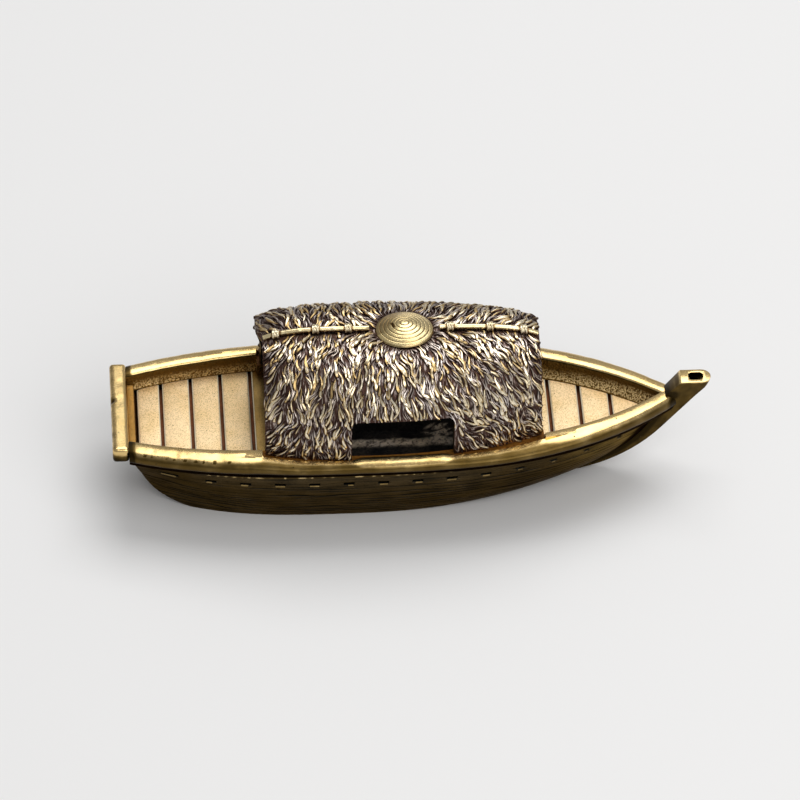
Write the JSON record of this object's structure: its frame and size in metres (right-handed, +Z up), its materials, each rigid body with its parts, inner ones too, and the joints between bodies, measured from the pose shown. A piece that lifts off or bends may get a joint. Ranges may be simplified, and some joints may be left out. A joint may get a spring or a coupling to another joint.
{
  "type": "incense boat",
  "caption": "Cast brass covered river boat that burns incense under a lift-off thatched canopy, with planked decks, rounded rails and a stick socket in its stem head.",
  "frame": {"origin": "on the floor, under the middle of the boat's length and width", "axes": "+X from stern to bow, +Y to port, +Z up"},
  "size_m": [0.1, 0.0332, 0.0326],
  "materials": {
    "hull_brass": "dark patina, engraved grain",
    "rail_brass": "rubbed, satin",
    "plank_brass": "matte, finely pitted",
    "thatch_brass": "dark patina with rubbed crests",
    "ridge_brass": "rubbed, satin"
  },
  "bodies": {
    "boat": {"hull_shell": "hull_brass", "port_strake": "hull_brass", "starboard_strake": "hull_brass", "transom_board": "hull_brass", "stern_bulkhead": "hull_brass", "bow_bulkhead": "hull_brass", "stern_deck_bed": "hull_brass", "bow_deck_bed": "hull_brass", "port_gunwale": "rail_brass", "starboard_gunwale": "rail_brass", "stern_beam": "rail_brass", "stem_post": "rail_brass", "stern_plank_1": "plank_brass", "stern_plank_2": "plank_brass", "stern_plank_3": "plank_brass", "stern_plank_4": "plank_brass", "stern_plank_5": "plank_brass", "bow_plank_1": "plank_brass", "bow_plank_2": "plank_brass", "bow_plank_3": "plank_brass", "bow_plank_4": "plank_brass"},
    "canopy": {"canopy_shell": "thatch_brass", "stern_ridge_pole": "ridge_brass", "bow_ridge_pole": "ridge_brass", "ridge_lashings": "ridge_brass", "straw_hat": "ridge_brass"}
  },
  "joints": [
    {"name": "canopy_lift", "type": "slide", "parent": "boat", "child": "canopy", "axis": [0, 0, 1], "range_m": [0, 0.03]}
  ]
}
